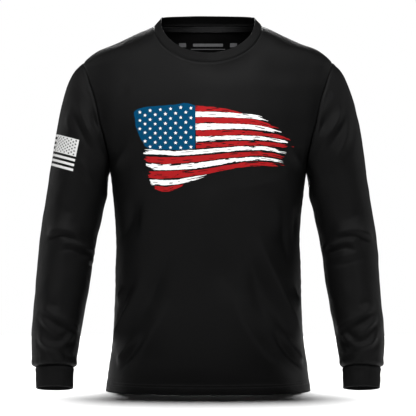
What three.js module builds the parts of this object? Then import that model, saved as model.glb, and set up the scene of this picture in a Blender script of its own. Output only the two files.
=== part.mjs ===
// A long-sleeved crew-neck T-shirt that stands open and hollow on its hem, as if worn.
// Millimetres, +Z up, the wearer faces -Y. The origin is on the surface, under the middle of the shirt's box.
import * as THREE from "three";

const clothThickness = 1.5;
const hemThickness = 2.4; // the cloth is turned up once and sewn
const hemHeight = 22;
const ribThickness = 2.2; // neckband and cuffs are rib cloth folded double
const tapeThickness = 1;
const seamGap = 0.3;
const sleeveGap = 0.36; // sideways, across the armhole seam, which slants

const shoulderHeight = 655; // where the shoulder seam meets the sleeve
const armpitHeight = 438;
const armholeReach = 33; // degrees round the body from the side seam to the front or back of the armhole
const neckSide = { x: 107, z: 728 };
const neckFrontHeight = 650;
const neckBackHeight = 735;
const sleeveLength = 640;
const neckbandWidth = 20;
const tapeWidth = 13;

// Steps of the meshes. Those of pieces that share a seam match along it.
const acrossHalfPanel = 12;
const shoulderShare = 7 / 12; // the share of a half panel's top edge that is neck, from the centre
const upPanel = 25;
const sideShare = 0.6; // the share of a panel's side that is side seam, from the hem
const roundSleeve = 20;
const alongSleeve = 22;
const roundNeck = 28;

// Height, half width, depth to the front, depth to the back, and how square the section is.
const bodyForm = [
  [0, 204, 123, 119, 2.4],
  [45, 198, 122, 116, 2.4],
  [100, 190, 120, 111, 2.4],
  [165, 185.5, 118, 107, 2.4],
  [240, 184, 118, 106, 2.4],
  [305, 183, 121, 109, 2.35],
  [372, 188, 124, 116, 2.3],
  [420, 193, 125, 121, 2.25],
  [440, 197, 125, 122, 2.2],
  [463, 209, 124, 123, 2.1],
  [500, 236, 121, 124, 2],
  [540, 257, 116, 123, 2],
  [600, 264, 103, 116, 2],
  [640, 256, 90, 105, 2],
  [655, 248, 85, 99, 2],
  [677, 221, 78, 90, 2],
  [692, 185, 73, 83, 2],
  [708, 150, 68, 76, 2],
  [728, 107, 61, 68, 2],
  [745, 88, 56, 62, 2],
];

// Place along the sleeve, its outer and inner edge (x, z), half depth, and how far forward its middle is.
const sleeveForm = [
  [0, 248, 655, 196, 438, 66, 0],
  [0.06, 268, 634, 199.5, 424, 68, 0],
  [0.13, 284, 600, 202, 404, 67, 0],
  [0.21, 296, 546, 205, 384, 64, 1],
  [0.3, 306, 492, 210, 360, 61, 2],
  [0.4, 317, 430, 216, 330, 59, 4],
  [0.5, 327, 368, 223, 300, 58, 7],
  [0.59, 336, 305, 228, 264, 57, 12],
  [0.69, 341, 240, 233, 222, 55, 22],
  [0.79, 345, 172, 243, 168, 52, 35],
  [0.88, 348, 117, 252, 114, 48, 46],
  [0.95, 346, 74, 257, 74, 43, 54],
  [0.985, 344, 57, 260, 57, 38, 57],
  [1, 341, 50, 264, 50, 34, 58],
];

const cuffTop = { outer: 341, inner: 264, depth: 34, forward: 58, height: 49.6 };
const cuffEnd = { outer: 339, inner: 266, depth: 31, forward: 66, height: 10 };
const cuffTilt = 0.23; // the cuff's ends rise towards the front, as the forearm leans forward

// Soft ridges (positive) and troughs on a panel: ends as (x, z), bow to one side, half width, height.
const frontFolds = [
  { from: [78, 420], to: [198, 52], bow: -22, wide: 15, high: 5.5 },
  { from: [48, 350], to: [168, 62], bow: -20, wide: 24, high: -6 },
  { from: [120, 300], to: [190, 120], bow: -9, wide: 12, high: -4 },
  { from: [-84, 350], to: [-196, 60], bow: 18, wide: 15, high: 5 },
  { from: [-50, 330], to: [-166, 50], bow: 18, wide: 26, high: -6 },
  { from: [-134, 290], to: [-184, 150], bow: 8, wide: 11, high: -3.5 },
  { from: [6, 470], to: [10, 180], bow: 4, wide: 40, high: 3.5 },
  { from: [-182, 660], to: [-110, 585], bow: 8, wide: 13, high: -2.2 },
  { from: [170, 655], to: [120, 590], bow: -8, wide: 15, high: -1.6 },
];
const backFolds = [
  { from: [88, 520], to: [186, 150], bow: -20, wide: 18, high: 5 },
  { from: [50, 470], to: [150, 110], bow: -18, wide: 26, high: -6 },
  { from: [-92, 510], to: [-188, 140], bow: 20, wide: 18, high: 5 },
  { from: [-56, 460], to: [-154, 90], bow: 18, wide: 26, high: -6 },
  { from: [0, 430], to: [-8, 110], bow: 5, wide: 34, high: 4.5 },
  { from: [-120, 640], to: [120, 640], bow: 14, wide: 12, high: -1.8 },
];
// On a sleeve: ends as (degrees round from the top to the front, place along it). A degree is near 1 mm.
const sleeveFolds = [
  { from: [55, 0.07], to: [128, 0.3], bow: 10, wide: 9, high: 4 },
  { from: [68, 0.05], to: [142, 0.21], bow: 8, wide: 9, high: -4.5 },
  { from: [28, 0.1], to: [84, 0.27], bow: 8, wide: 9, high: 2.8 },
  { from: [-60, 0.08], to: [-140, 0.28], bow: -10, wide: 11, high: 4 },
  { from: [-74, 0.06], to: [-150, 0.18], bow: -8, wide: 10, high: -4 },
  { from: [20, 0.6], to: [165, 0.585], bow: -13, wide: 8, high: 5.5 },
  { from: [30, 0.645], to: [175, 0.62], bow: -9, wide: 8, high: 5 },
  { from: [25, 0.62], to: [168, 0.603], bow: -11, wide: 7, high: -4 },
  { from: [10, 0.79], to: [140, 0.86], bow: 10, wide: 9, high: 4 },
  { from: [140, 0.76], to: [20, 0.88], bow: 8, wide: 9, high: 4 },
  { from: [10, 0.9], to: [150, 0.95], bow: 12, wide: 8, high: 3.5 },
  { from: [-20, 0.84], to: [-150, 0.9], bow: -10, wide: 10, high: 4 },
  { from: [-160, 0.8], to: [-40, 0.92], bow: 8, wide: 10, high: 3.5 },
];

const jersey = new THREE.MeshStandardMaterial({ name: "jersey", color: 0x1b1c1c, roughness: 0.9 });
const rib = new THREE.MeshStandardMaterial({ name: "rib", color: 0x191a1a, roughness: 0.92 });
const tape = new THREE.MeshStandardMaterial({ name: "tape", color: 0x222323, roughness: 0.85 });

const radians = THREE.MathUtils.degToRad;
const smoothstep = THREE.MathUtils.smoothstep;

// A smooth curve through a table's rows, read at a place in its first column.
function read(table, at, column) {
  let i = 0;
  while (i < table.length - 2 && table[i + 1][0] <= at) i++;
  const slope = (k) => {
    const before = table[Math.max(k - 1, 0)];
    const after = table[Math.min(k + 1, table.length - 1)];
    return (after[column] - before[column]) / (after[0] - before[0]);
  };
  const [low, high] = [table[i], table[i + 1]];
  const step = high[0] - low[0];
  const t = (at - low[0]) / step;
  const rise = high[column] - low[column];
  const bend = (1 - t) * (slope(i) * step - rise) - t * (slope(i + 1) * step - rise);
  return low[column] + t * rise + t * (1 - t) * bend;
}

// The point of the body form at a height, in a direction round it: 0 is the front, 90 the side, 180 the back.
function onBody(degrees, z) {
  const [width, square] = [read(bodyForm, z, 1), read(bodyForm, z, 4)];
  const [side, front] = [Math.sin(radians(degrees)), Math.cos(radians(degrees))];
  const depth = read(bodyForm, z, front > 0 ? 2 : 3);
  const reach = (Math.abs(side) ** square + Math.abs(front) ** square) ** (-1 / square);
  return new THREE.Vector3(width * side * reach, -depth * front * reach, z);
}

// Moves a point level with itself, onto the body form.
function snapToBody(point, facing) {
  const width = read(bodyForm, point.z, 1);
  const depth = read(bodyForm, point.z, facing > 0 ? 2 : 3);
  const degrees = THREE.MathUtils.radToDeg(Math.atan2(point.x / width, -point.y / depth));
  return onBody(degrees, point.z);
}

// The point of the body form in front of or behind (x, z).
function overPoint(x, z, facing) {
  const [width, square] = [read(bodyForm, z, 1), read(bodyForm, z, 4)];
  const inside = Math.max(0, 1 - Math.min(1, Math.abs(x) / width) ** square);
  const depth = read(bodyForm, z, facing > 0 ? 2 : 3);
  return new THREE.Vector3(x, -facing * depth * inside ** (1 / square), z);
}

// The armhole seam: 0 is the shoulder, 90 the front, 180 the armpit, 270 the back.
function armhole(degrees) {
  const middle = (shoulderHeight + armpitHeight) / 2;
  const z = middle + (shoulderHeight - middle) * Math.cos(radians(degrees));
  return onBody(90 - armholeReach * Math.sin(radians(degrees)), z);
}

// The neck seam: 0 is the front, 90 the side, 180 the back.
function neckSeam(degrees) {
  const front = Math.cos(radians(degrees));
  const drop = front > 0 ? neckSide.z - neckFrontHeight : neckSide.z - neckBackHeight;
  const z = neckSide.z - drop * Math.abs(front);
  return overPoint(neckSide.x * Math.sin(radians(degrees)), z, front > 0 ? 1 : -1);
}

// How far the cloth stands out at (x, y) for all of its folds. Scale turns y into the unit of x.
function foldHeight(folds, x, y, scale = 1) {
  let sum = 0;
  for (const { from, to, bow, wide, high } of folds) {
    const [dx, dy] = [to[0] - from[0], (to[1] - from[1]) * scale];
    const long = Math.hypot(dx, dy);
    const [px, py] = [x - from[0], (y - from[1]) * scale];
    const along = (px * dx + py * dy) / long ** 2;
    if (along <= 0 || along >= 1) continue;
    const across = (px * dy - py * dx) / long - 4 * bow * along * (1 - along);
    const ends = Math.sin(Math.PI * along) ** 0.8;
    sum += high * ends * Math.exp(-((across / wide) ** 2));
  }
  return sum;
}

// Surface normals of a grid of points, from the neighbours of each.
function gridNormals(grid, closed) {
  return grid.map((row, i) =>
    row.map((point, j) => {
      const last = row.length - 1;
      const right = closed ? row[(j + 1) % row.length] : row[Math.min(j + 1, last)];
      const left = closed ? row[(j + last) % row.length] : row[Math.max(j - 1, 0)];
      const above = grid[Math.min(i + 1, grid.length - 1)][j];
      const below = grid[Math.max(i - 1, 0)][j];
      const across = new THREE.Vector3().subVectors(right, left);
      const up = new THREE.Vector3().subVectors(above, below);
      return across.cross(up).normalize();
    }),
  );
}

// A closed sheet between a grid of outer points and a grid of inner ones. Seen from outside, columns run to
// the right of the way that rows run up, and they join up when the sheet is closed round.
function sheet(outer, inner, closed = false) {
  const [rows, columns] = [outer.length, outer[0].length];
  const points = [...outer.flat(), ...inner.flat()];
  const faces = [];
  const quad = (a, b, c, d) => faces.push(a, b, c, a, c, d);
  const at = (i, j) => i * columns + (j % columns);
  const inside = rows * columns;
  const across = closed ? columns : columns - 1;
  for (let i = 0; i < rows - 1; i++) {
    for (let j = 0; j < across; j++) {
      const [a, b, c, d] = [at(i, j), at(i, j + 1), at(i + 1, j + 1), at(i + 1, j)];
      quad(a, b, c, d);
      quad(inside + d, inside + c, inside + b, inside + a);
    }
  }
  for (let j = 0; j < across; j++) {
    const [a, b] = [at(0, j), at(0, j + 1)];
    quad(b, a, inside + a, inside + b);
    const [c, d] = [at(rows - 1, j), at(rows - 1, j + 1)];
    quad(c, d, inside + d, inside + c);
  }
  for (let i = 0; i < rows - 1 && !closed; i++) {
    const [a, b] = [at(i, 0), at(i + 1, 0)];
    quad(a, b, inside + b, inside + a);
    const [c, d] = [at(i, columns - 1), at(i + 1, columns - 1)];
    quad(d, c, inside + c, inside + d);
  }
  const geometry = new THREE.BufferGeometry().setFromPoints(points).setIndex(faces);
  geometry.computeVertexNormals();
  return geometry;
}

const inward = (grid, normals, thickness) =>
  grid.map((row, i) =>
    row.map((point, j) => point.clone().addScaledVector(normals[i][j], -thickness(i, j))),
  );

// The direction through the cloth at the armhole seam, which the panels and the sleeve share.
function armholeNormal(degrees) {
  const middle = armhole(90).add(armhole(270)).multiplyScalar(0.5);
  const out = armhole(degrees).sub(middle);
  const tangent = armhole(degrees + 1).sub(armhole(degrees - 1)).normalize();
  return out.addScaledVector(tangent, -out.dot(tangent)).normalize();
}

// And at the neck seam, shared by the panels and the neckband: square to the seam and to the slope below it.
function neckNormal(degrees) {
  const seam = neckSeam(degrees);
  const lower = seam.clone().setZ(seam.z - 4);
  const slope = seam.clone().sub(snapToBody(lower, degrees < 90 ? 1 : -1));
  const tangent = neckSeam(degrees + 1).sub(neckSeam(degrees - 1));
  const normal = slope.cross(tangent);
  if (normal.z < 0) normal.negate();
  if (degrees === 90) normal.y = 0;
  return normal.normalize();
}

// The four edges of half a panel, from its centre line to its side.
const bottomEdge = (u, facing) => onBody(90 + facing * (90 * u - 90), 0);
function topEdge(u, facing) {
  if (u <= shoulderShare) return neckSeam(90 + facing * (90 * (u / shoulderShare) - 90));
  const t = (u - shoulderShare) / (1 - shoulderShare);
  return onBody(90, THREE.MathUtils.lerp(neckSide.z, shoulderHeight, t));
}
function sideEdge(v, facing) {
  if (v <= sideShare) return onBody(90, (armpitHeight * v) / sideShare);
  return armhole(180 - (facing * 180 * (v - sideShare)) / (1 - sideShare));
}
function centreEdge(v, facing) {
  const top = facing > 0 ? neckFrontHeight : neckBackHeight;
  return onBody(90 - facing * 90, top * v);
}

// A point of a half panel: between its centre line and its side, then drawn towards the hem and the top
// edge as it nears them, and at last onto the body form.
function panelPoint(u, v, facing) {
  const between = (share) => centreEdge(share, facing).lerp(sideEdge(share, facing), u);
  const toTop = topEdge(u, facing).sub(between(1)).multiplyScalar(v ** 5);
  const toHem = bottomEdge(u, facing).sub(between(0)).multiplyScalar((1 - v) ** 2);
  return snapToBody(between(v).add(toTop).add(toHem), facing);
}

// The direction through a panel on its edges, or null away from them. Share is 1 at the side.
function panelEdgeNormal(share, v, facing, mirror) {
  let normal = null;
  if (share === 1 && v > sideShare - 1e-6) {
    normal = armholeNormal(180 - (facing * 180 * (v - sideShare)) / (1 - sideShare));
  } else if (v === 1 && share <= shoulderShare + 1e-6) {
    normal = neckNormal(90 + facing * (90 * (share / shoulderShare) - 90));
  }
  if (normal) normal.x *= mirror;
  return normal;
}

function panel(name, facing, folds) {
  const columns = Array.from({ length: 2 * acrossHalfPanel + 1 }, (_, j) => j / acrossHalfPanel - 1);
  const rows = Array.from({ length: upPanel + 1 }, (_, i) =>
    columns.map((column) => {
      const point = panelPoint(Math.abs(column), i / upPanel, facing);
      point.x *= Math.sign(facing * column);
      return point;
    }),
  );
  const share = columns.map(Math.abs);
  const normals = gridNormals(rows, false);
  rows.forEach((row, i) => {
    row.forEach((point, j) => {
      const still = (1 - smoothstep(share[j], 0.86, 1)) * (1 - smoothstep(i / upPanel, 0.88, 1));
      const height = foldHeight(folds, point.x, point.z) * still;
      point.addScaledVector(normals[i][j].clone().setZ(0), height);
    });
  });
  const bent = gridNormals(rows, false);
  rows.forEach((row, i) => {
    row.forEach((point, j) => {
      const shared = panelEdgeNormal(share[j], i / upPanel, facing, Math.sign(point.x) || 1);
      if (shared) bent[i][j].copy(shared);
      else if (share[j] === 1 || i === upPanel) bent[i][j].setY(0).normalize();
      if (i === 0) bent[i][j].setZ(0).normalize();
    });
  });
  const thickness = (i, j) => (rows[i][j].z < hemHeight ? hemThickness : clothThickness);
  const mesh = new THREE.Mesh(sheet(rows, inward(rows, bent, thickness)), jersey);
  mesh.name = name;
  mesh.position.y = (-facing * seamGap) / 2;
  return mesh;
}

// A point of the wearer's left sleeve. Degrees run round it as on the armhole.
function sleevePoint(degrees, t) {
  const ring = (place) => {
    const [outerX, outerZ, innerX, innerZ, depth, forward] = [1, 2, 3, 4, 5, 6].map((column) =>
      read(sleeveForm, place, column),
    );
    const [top, front] = [Math.cos(radians(degrees)), Math.sin(radians(degrees))];
    return new THREE.Vector3(
      (outerX + innerX) / 2 + ((outerX - innerX) / 2) * top,
      -forward - depth * front,
      (outerZ + innerZ) / 2 + ((outerZ - innerZ) / 2) * top,
    );
  };
  const seam = armhole(degrees).sub(ring(0));
  const lean = cuffTilt * Math.sin(radians(degrees)) * read(sleeveForm, t, 5) * smoothstep(t, 0.5, 1);
  const point = ring(t).addScaledVector(seam, 1 - smoothstep(t, 0, 0.34));
  point.z += lean;
  return point;
}

function sleeve(name, mirror) {
  const rows = [];
  for (let i = 0; i <= alongSleeve; i++) {
    const row = [];
    for (let j = 0; j < roundSleeve; j++) {
      row.push(sleevePoint((360 * j) / roundSleeve, i / alongSleeve));
    }
    rows.push(row);
  }
  const normals = gridNormals(rows, true);
  rows.forEach((row, i) => {
    row.forEach((point, j) => {
      const degrees = ((360 * j) / roundSleeve + 180) % 360 - 180;
      const t = i / alongSleeve;
      const still = smoothstep(t, 0, 0.06) * (1 - smoothstep(t, 0.95, 1));
      point.addScaledVector(normals[i][j], foldHeight(sleeveFolds, degrees, t, sleeveLength) * still);
    });
  });
  const bent = gridNormals(rows, true);
  rows[0].forEach((point, j) => bent[0][j].copy(armholeNormal((360 * j) / roundSleeve)));
  const end = rows.length - 1;
  rows[end].forEach((point, j) => bent[end][j].copy(cuffNormal((360 * j) / roundSleeve)));
  const inner = inward(rows, bent, () => clothThickness);
  return sleevePiece(name, mirror, rows, inner, jersey);
}

// The wearer's right side is the mirror image of the left, with each row turned round to face outwards.
function sleevePiece(name, mirror, outer, inner, material) {
  const place = (grid) => {
    const placed = grid.map((row) => row.map((p) => new THREE.Vector3(p.x * mirror, p.y, p.z)));
    return mirror > 0 ? placed : placed.map((row) => row.reverse());
  };
  const mesh = new THREE.Mesh(sheet(place(outer), place(inner), true), material);
  mesh.name = name;
  mesh.position.x = mirror * sleeveGap;
  return mesh;
}

function cuffNormal(degrees) {
  return new THREE.Vector3(Math.cos(radians(degrees)), -Math.sin(radians(degrees)), 0);
}

function cuff(name, mirror) {
  const rows = [0, 0.5, 1].map((t) =>
    Array.from({ length: roundSleeve }, (_, j) => {
      const degrees = (360 * j) / roundSleeve;
      const mix = (key) => THREE.MathUtils.lerp(cuffTop[key], cuffEnd[key], t);
      const [outer, inner, depth] = [mix("outer"), mix("inner"), mix("depth")];
      const front = Math.sin(radians(degrees));
      return new THREE.Vector3(
        (outer + inner) / 2 + ((outer - inner) / 2) * Math.cos(radians(degrees)),
        -mix("forward") - depth * front,
        mix("height") + cuffTilt * depth * front,
      );
    }),
  );
  const normals = rows.map((row) => row.map((_, j) => cuffNormal((360 * j) / roundSleeve)));
  return sleevePiece(name, mirror, rows, inward(rows, normals, () => ribThickness), rib);
}

// The neckband stands up from the neck seam and leans in over it.
function neckband() {
  const rows = [0, 0.5, 1].map((t) =>
    Array.from({ length: roundNeck }, (_, j) => {
      const degrees = (360 * j) / roundNeck;
      const [around, mirror] = degrees > 180 ? [360 - degrees, -1] : [degrees, 1];
      const seam = neckSeam(around);
      const lean = new THREE.Vector3(-seam.x, -seam.y, 0).normalize();
      const front = Math.cos(radians(around));
      const tilt = radians(THREE.MathUtils.lerp(42, front > 0 ? 24 : 28, Math.abs(front)));
      const rise = neckbandWidth * t;
      const point = seam.clone().addScaledVector(lean, Math.sin(tilt) * rise + seamGap);
      point.z += Math.cos(tilt) * rise + seamGap;
      point.x *= mirror;
      return point;
    }),
  );
  const normals = gridNormals(rows, true);
  rows[0].forEach((_, j) => {
    const degrees = (360 * j) / roundNeck;
    normals[0][j].copy(neckNormal(Math.min(degrees, 360 - degrees)));
    if (degrees > 180) normals[0][j].x *= -1;
  });
  const mesh = new THREE.Mesh(sheet(rows, inward(rows, normals, () => ribThickness), true), rib);
  mesh.name = "neckband";
  return mesh;
}

// The tape hangs from the back of the neck seam, just inside the back panel.
function neckTape() {
  const steps = 16;
  const [start, end] = [112, 248];
  const rows = [tapeWidth, 0].map((drop) =>
    Array.from({ length: steps + 1 }, (_, j) => {
      const degrees = THREE.MathUtils.lerp(start, end, j / steps);
      const [around, mirror] = degrees > 180 ? [360 - degrees, -1] : [degrees, 1];
      const normal = neckNormal(around);
      const down = neckSeam(around - 1).sub(neckSeam(around + 1)).cross(normal).normalize();
      if (down.z > 0) down.negate();
      const inset = clothThickness + 3 * seamGap + 0.27 * drop;
      const point = neckSeam(around).addScaledVector(normal, -inset).addScaledVector(down, drop + 1.5);
      point.x *= mirror;
      return point;
    }),
  );
  const normals = gridNormals(rows, false);
  const mesh = new THREE.Mesh(sheet(rows, inward(rows, normals, () => tapeThickness)), tape);
  mesh.name = "neck_tape";
  return mesh;
}

const shirt = new THREE.Group();
shirt.add(panel("front_panel", 1, frontFolds), panel("back_panel", -1, backFolds));
for (const [side, mirror] of [["left", 1], ["right", -1]]) {
  shirt.add(sleeve(`sleeve_${side}`, mirror), cuff(`cuff_${side}`, mirror));
}
shirt.add(neckband(), neckTape());
const box = new THREE.Box3().setFromObject(shirt);
shirt.position.y = -(box.min.y + box.max.y) / 2;

export default shirt;
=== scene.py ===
import math

import bpy
import numpy as np
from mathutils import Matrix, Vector
from mathutils.bvhtree import BVHTree


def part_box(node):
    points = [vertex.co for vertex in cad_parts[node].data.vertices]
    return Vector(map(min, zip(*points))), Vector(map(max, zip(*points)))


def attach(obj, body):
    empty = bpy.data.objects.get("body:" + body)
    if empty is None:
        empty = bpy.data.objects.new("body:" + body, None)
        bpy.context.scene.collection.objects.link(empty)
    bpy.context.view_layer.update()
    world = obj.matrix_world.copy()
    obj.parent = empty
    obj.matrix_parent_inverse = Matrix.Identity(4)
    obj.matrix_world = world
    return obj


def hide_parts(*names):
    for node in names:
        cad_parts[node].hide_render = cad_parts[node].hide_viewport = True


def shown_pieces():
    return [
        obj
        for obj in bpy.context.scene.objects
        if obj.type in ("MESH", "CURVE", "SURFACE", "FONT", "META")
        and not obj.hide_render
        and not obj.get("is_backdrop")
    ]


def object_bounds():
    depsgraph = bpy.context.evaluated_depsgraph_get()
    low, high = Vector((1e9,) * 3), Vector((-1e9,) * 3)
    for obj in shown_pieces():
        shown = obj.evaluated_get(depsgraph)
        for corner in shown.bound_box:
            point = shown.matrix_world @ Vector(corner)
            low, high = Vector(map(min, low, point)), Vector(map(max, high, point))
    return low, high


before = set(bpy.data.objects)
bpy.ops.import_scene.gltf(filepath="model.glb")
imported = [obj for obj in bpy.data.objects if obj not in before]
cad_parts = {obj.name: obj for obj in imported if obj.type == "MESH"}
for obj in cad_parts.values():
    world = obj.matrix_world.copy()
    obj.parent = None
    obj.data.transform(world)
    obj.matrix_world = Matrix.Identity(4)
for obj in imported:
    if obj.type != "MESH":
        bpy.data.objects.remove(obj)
cadLow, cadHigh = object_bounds()
bpy.ops.object.select_all(action="DESELECT")
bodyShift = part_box("back_panel")[0].y - 0.00015  # the side seams, which the back panel starts just behind


class Wire:
    # an output socket, so that shader maths reads as maths

    def __init__(self, tree, socket=None):
        self.tree, self.socket = tree, socket

    def node(self, kind, inputs=None, output=0, **settings):
        made = self.tree.nodes.new(kind)
        for key, value in settings.items():
            setattr(made, key, value)
        for key, value in (inputs or {}).items():
            if isinstance(value, Wire):
                self.tree.links.new(value.socket, made.inputs[key])
            else:
                made.inputs[key].default_value = value
        return Wire(self.tree, made.outputs[output])

    def into(self, shader, values):
        for name, value in values.items():
            self.tree.links.new(value.socket, shader.inputs[name])

    def maths(self, operation, *values):
        return self.node("ShaderNodeMath", dict(enumerate(values)), operation=operation)

    def __add__(self, other):
        return self.maths("ADD", self, other)

    def __mul__(self, other):
        return self.maths("MULTIPLY", self, other)

    def __sub__(self, other):
        return self.maths("SUBTRACT", self, other)

    def __rsub__(self, other):
        return self.maths("SUBTRACT", other, self)

    def __truediv__(self, other):
        return self.maths("DIVIDE", self, other)

    def __pow__(self, other):
        return self.maths("POWER", self, other)


# the shirt's form, in millimetres, with the side seams at y = 0
# height, half width, depth to the front, depth to the back, and how square the section is
bodyForm = np.array([
    [0, 204, 123, 119, 2.4],
    [45, 198, 122, 116, 2.4],
    [100, 190, 120, 111, 2.4],
    [165, 185.5, 118, 107, 2.4],
    [240, 184, 118, 106, 2.4],
    [305, 183, 121, 109, 2.35],
    [372, 188, 124, 116, 2.3],
    [420, 193, 125, 121, 2.25],
    [440, 197, 125, 122, 2.2],
    [463, 209, 124, 123, 2.1],
    [500, 236, 121, 124, 2],
    [540, 257, 116, 123, 2],
    [600, 264, 103, 116, 2],
    [640, 256, 90, 105, 2],
    [655, 248, 85, 99, 2],
    [677, 221, 78, 90, 2],
    [692, 185, 73, 83, 2],
    [708, 150, 68, 76, 2],
    [728, 107, 61, 68, 2],
    [745, 88, 56, 62, 2],
])
# place along the sleeve, its outer and inner edge (x, z), half depth, and how far forward its middle is
sleeveForm = np.array([
    [0, 248, 655, 196, 438, 66, 0],
    [0.06, 268, 634, 199.5, 424, 68, 0],
    [0.13, 284, 600, 202, 404, 67, 0],
    [0.21, 296, 546, 205, 384, 64, 1],
    [0.3, 306, 492, 210, 360, 61, 2],
    [0.4, 317, 430, 216, 330, 59, 4],
    [0.5, 327, 368, 223, 300, 58, 7],
    [0.59, 336, 305, 228, 264, 57, 12],
    [0.69, 341, 240, 233, 222, 55, 22],
    [0.79, 345, 172, 243, 168, 52, 35],
    [0.88, 348, 117, 252, 114, 48, 46],
    [0.95, 346, 74, 257, 74, 43, 54],
    [0.985, 344, 57, 260, 57, 38, 57],
    [1, 341, 50, 264, 50, 34, 58],
])
cut = {
    "shoulder": 655,  # height of the shoulder seam's outer end
    "armpit": 438,
    "armholeReach": math.radians(33),
    "neckSide": (107, 728),
    "neckFront": 650,
    "neckBack": 735,
    "sideShare": 0.6,  # the share of a panel's side that is side seam
    "neckShare": 7 / 12,  # the share of half a panel's top edge that is neck
    "sleeve": 640,  # length without the cuff
    "cuffTilt": 0.23,
    "jersey": 0.9,  # cloth thickness
    "hem": 1.9,
    "hemHeight": 21.5,
    "rib": 2.1,
}


def read(table, at, column):
    places, values = table[:, 0], table[:, column]
    slopes = np.gradient(values)
    slopes[1:-1] = (values[2:] - values[:-2]) / (places[2:] - places[:-2])
    slopes[0] = (values[1] - values[0]) / (places[1] - places[0])
    slopes[-1] = (values[-1] - values[-2]) / (places[-1] - places[-2])
    i = np.clip(np.searchsorted(places, at, side="right") - 1, 0, len(table) - 2)
    step = places[i + 1] - places[i]
    t = (at - places[i]) / step
    rise = values[i + 1] - values[i]
    bend = (1 - t) * (slopes[i] * step - rise) - t * (slopes[i + 1] * step - rise)
    return values[i] + t * rise + t * (1 - t) * bend


def ease(low, high, value):
    t = np.clip((value - low) / (high - low), 0, 1)
    return t * t * (3 - 2 * t)


def hump(distance, middle, width):
    return np.exp(-(((distance - middle) / width) ** 2))


# a point of the body's form, turned round from the front
def onBody(angle, z):
    side, front = np.sin(angle), np.cos(angle)
    width, square = read(bodyForm, z, 1), read(bodyForm, z, 4)
    depth = np.where(front > 0, read(bodyForm, z, 2), read(bodyForm, z, 3))
    reach = (np.abs(side) ** square + np.abs(front) ** square) ** (-1 / square)
    return np.stack([width * side * reach, -depth * front * reach, z + 0 * side], -1)


def ontoBody(points, facing):
    z = points[..., 2]
    depth = read(bodyForm, z, 2 if facing > 0 else 3)
    return onBody(np.arctan2(points[..., 0] / read(bodyForm, z, 1), -points[..., 1] / depth), z)


def armhole(angle):
    middle = (cut["shoulder"] + cut["armpit"]) / 2
    z = middle + (cut["shoulder"] - middle) * np.cos(angle)
    return onBody(math.pi / 2 - cut["armholeReach"] * np.sin(angle), z)


# the neck seam: 0 is the front and pi the back
def neckSeam(angle):
    front = np.cos(angle)
    sideX, sideZ = cut["neckSide"]
    drop = np.where(front > 0, sideZ - cut["neckFront"], sideZ - cut["neckBack"])
    x, z = sideX * np.sin(angle), sideZ - drop * np.abs(front)
    width, square = read(bodyForm, z, 1), read(bodyForm, z, 4)
    depth = np.where(front > 0, read(bodyForm, z, 2), read(bodyForm, z, 3))
    inside = np.clip(1 - np.minimum(1, np.abs(x) / width) ** square, 0, 1) ** (1 / square)
    return np.stack([x, -np.sign(front) * depth * inside, z], -1)


# a panel's grid of points, from side to side and from the hem up
def panelGrid(facing, across, up):
    share, height = np.abs(across), up
    neck = cut["neckFront"] if facing > 0 else cut["neckBack"]
    centre = onBody(math.pi / 2 * (1 - facing), neck * height)
    seam = onBody(math.pi / 2, cut["armpit"] * np.minimum(height / cut["sideShare"], 1))
    over = np.maximum(height - cut["sideShare"], 0) / (1 - cut["sideShare"])
    side = np.where((height <= cut["sideShare"])[:, None], seam, armhole(math.pi * (1 - facing * over)))
    half = math.pi / 2
    neck = neckSeam(half + facing * half * (np.minimum(share / cut["neckShare"], 1) - 1))
    past = np.maximum(share - cut["neckShare"], 0) / (1 - cut["neckShare"])
    shoulder = onBody(half, cut["neckSide"][1] + (cut["shoulder"] - cut["neckSide"][1]) * past)
    top = np.where((share <= cut["neckShare"])[:, None], neck, shoulder)
    hem = onBody(half + facing * half * (share - 1), np.zeros(len(share)))
    between = centre[:, None] * (1 - share)[None, :, None] + side[:, None] * share[None, :, None]
    grid = between + (top - between[-1])[None] * (height**5)[:, None, None]
    grid = grid + (hem - between[0])[None] * ((1 - height) ** 2)[:, None, None]
    grid = ontoBody(grid, facing)
    grid[..., 0] *= np.sign(across)[None]
    return grid


# a sleeve's points, turned round from the outer edge by way of the front
def sleevePoint(angle, along, mirror):
    def ring(place):
        outerX, outerZ, innerX, innerZ, depth, forward = [read(sleeveForm, place, k) for k in range(1, 7)]
        top = np.cos(angle)
        x = (outerX + innerX) / 2 + (outerX - innerX) / 2 * top
        z = (outerZ + innerZ) / 2 + (outerZ - innerZ) / 2 * top
        return np.stack([x, -forward - depth * np.sin(angle), z], -1)

    seam = armhole(angle) - ring(np.zeros_like(along))
    point = ring(along) + seam * (1 - ease(0, 0.34, along))[..., None]
    point[..., 2] += cut["cuffTilt"] * np.sin(angle) * read(sleeveForm, along, 5) * ease(0.5, 1, along)
    point[..., 0] *= mirror
    return point


def gridNormals(points, closed=False):
    if closed:
        across = np.roll(points, -1, 1) - np.roll(points, 1, 1)
    else:
        across = np.gradient(points, axis=1)
    normals = np.cross(across, np.gradient(points, axis=0))
    return normals / np.maximum(np.linalg.norm(normals, axis=-1, keepdims=True), 1e-9)


# shares of a length in even steps, with fine stops, in millimetres, at its start and end
def stops(length, step, first=(0,), last=(0,)):
    first, last = np.array(first, float), length - np.array(last, float)[::-1]
    count = max(2, round((last[0] - first[-1]) / step))
    even = np.linspace(first[-1], last[0], count + 1)
    return np.concatenate([first[:-1], even, last[1:]]) / length


# lengths from the first line of a grid, along it
def run(points, axis):
    steps = np.linalg.norm(np.diff(points, axis=axis), axis=-1)
    start = np.zeros_like(np.take(steps, [0], axis=axis))
    return np.concatenate([start, np.cumsum(steps, axis=axis)], axis=axis)


# the points of a line at lengths along it
def pick(line, walked, at):
    return np.stack([np.interp(at, walked, column) for column in line.T], -1)


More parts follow.
